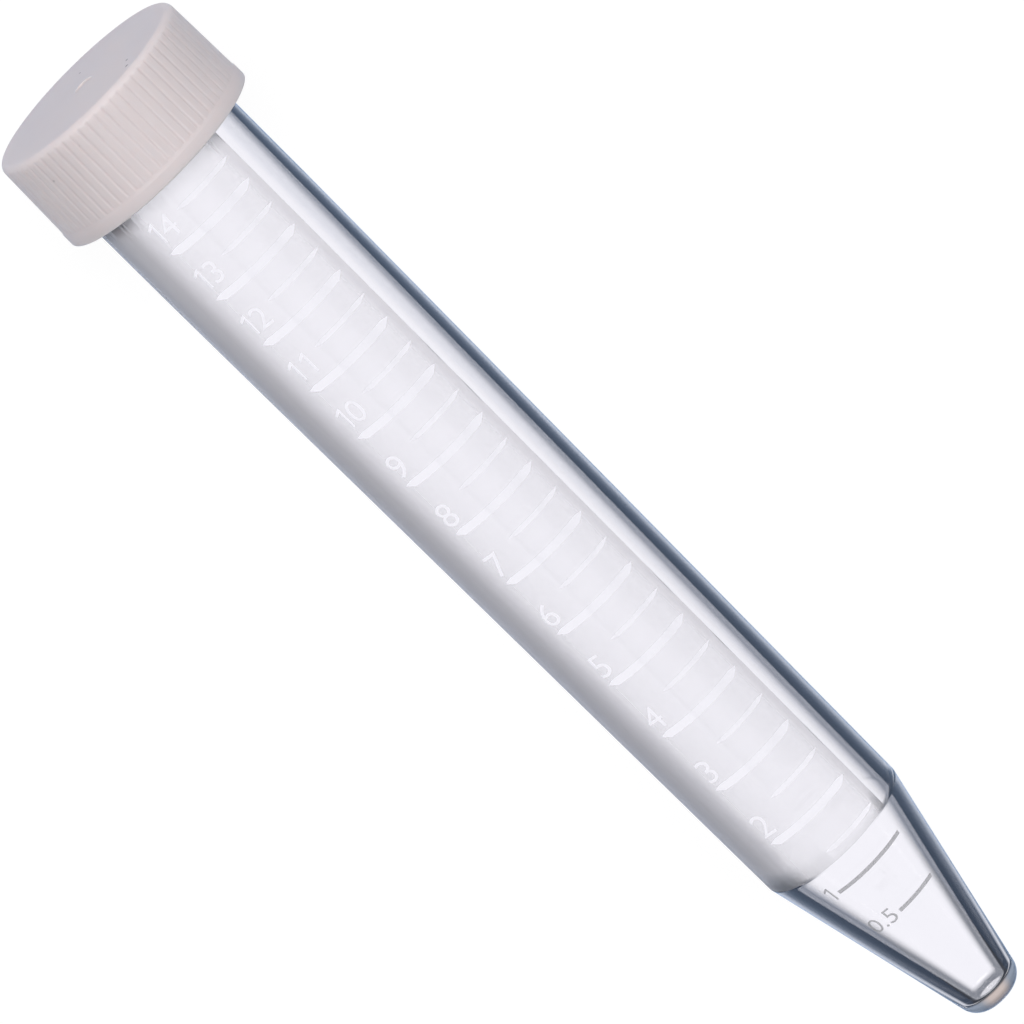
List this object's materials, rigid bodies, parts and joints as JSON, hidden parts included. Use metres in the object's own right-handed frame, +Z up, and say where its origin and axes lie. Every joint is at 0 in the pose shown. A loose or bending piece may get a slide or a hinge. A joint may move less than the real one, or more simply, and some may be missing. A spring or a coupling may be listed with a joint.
{
  "type": "conical centrifuge tube",
  "caption": "Clear tapered laboratory tube with a conical tip, a white graduated print panel and a ribbed screw cap, lying on its side.",
  "frame": {"origin": "middle of the closed tube's footprint on the floor it lies on, at floor level", "axes": "+Z up, -X towards the cap, +X towards the conical tip; the tube's axis rises 1.82 degrees towards the cap, because the cap's band is wider than the shoulder"},
  "size_m": [0.1202, 0.0212, 0.0212],
  "materials": {
    "tube": "gloss",
    "cap": "satin",
    "print": "satin"
  },
  "bodies": {
    "tube_body": {"tube": "tube"},
    "cap_body": {"cap": "cap"}
  },
  "joints": [
    {"name": "cap_lift", "type": "slide", "parent": "tube_body", "child": "cap_body", "axis": [-0.9995, 0, 0.0318], "range_m": [0, 0.02]}
  ]
}
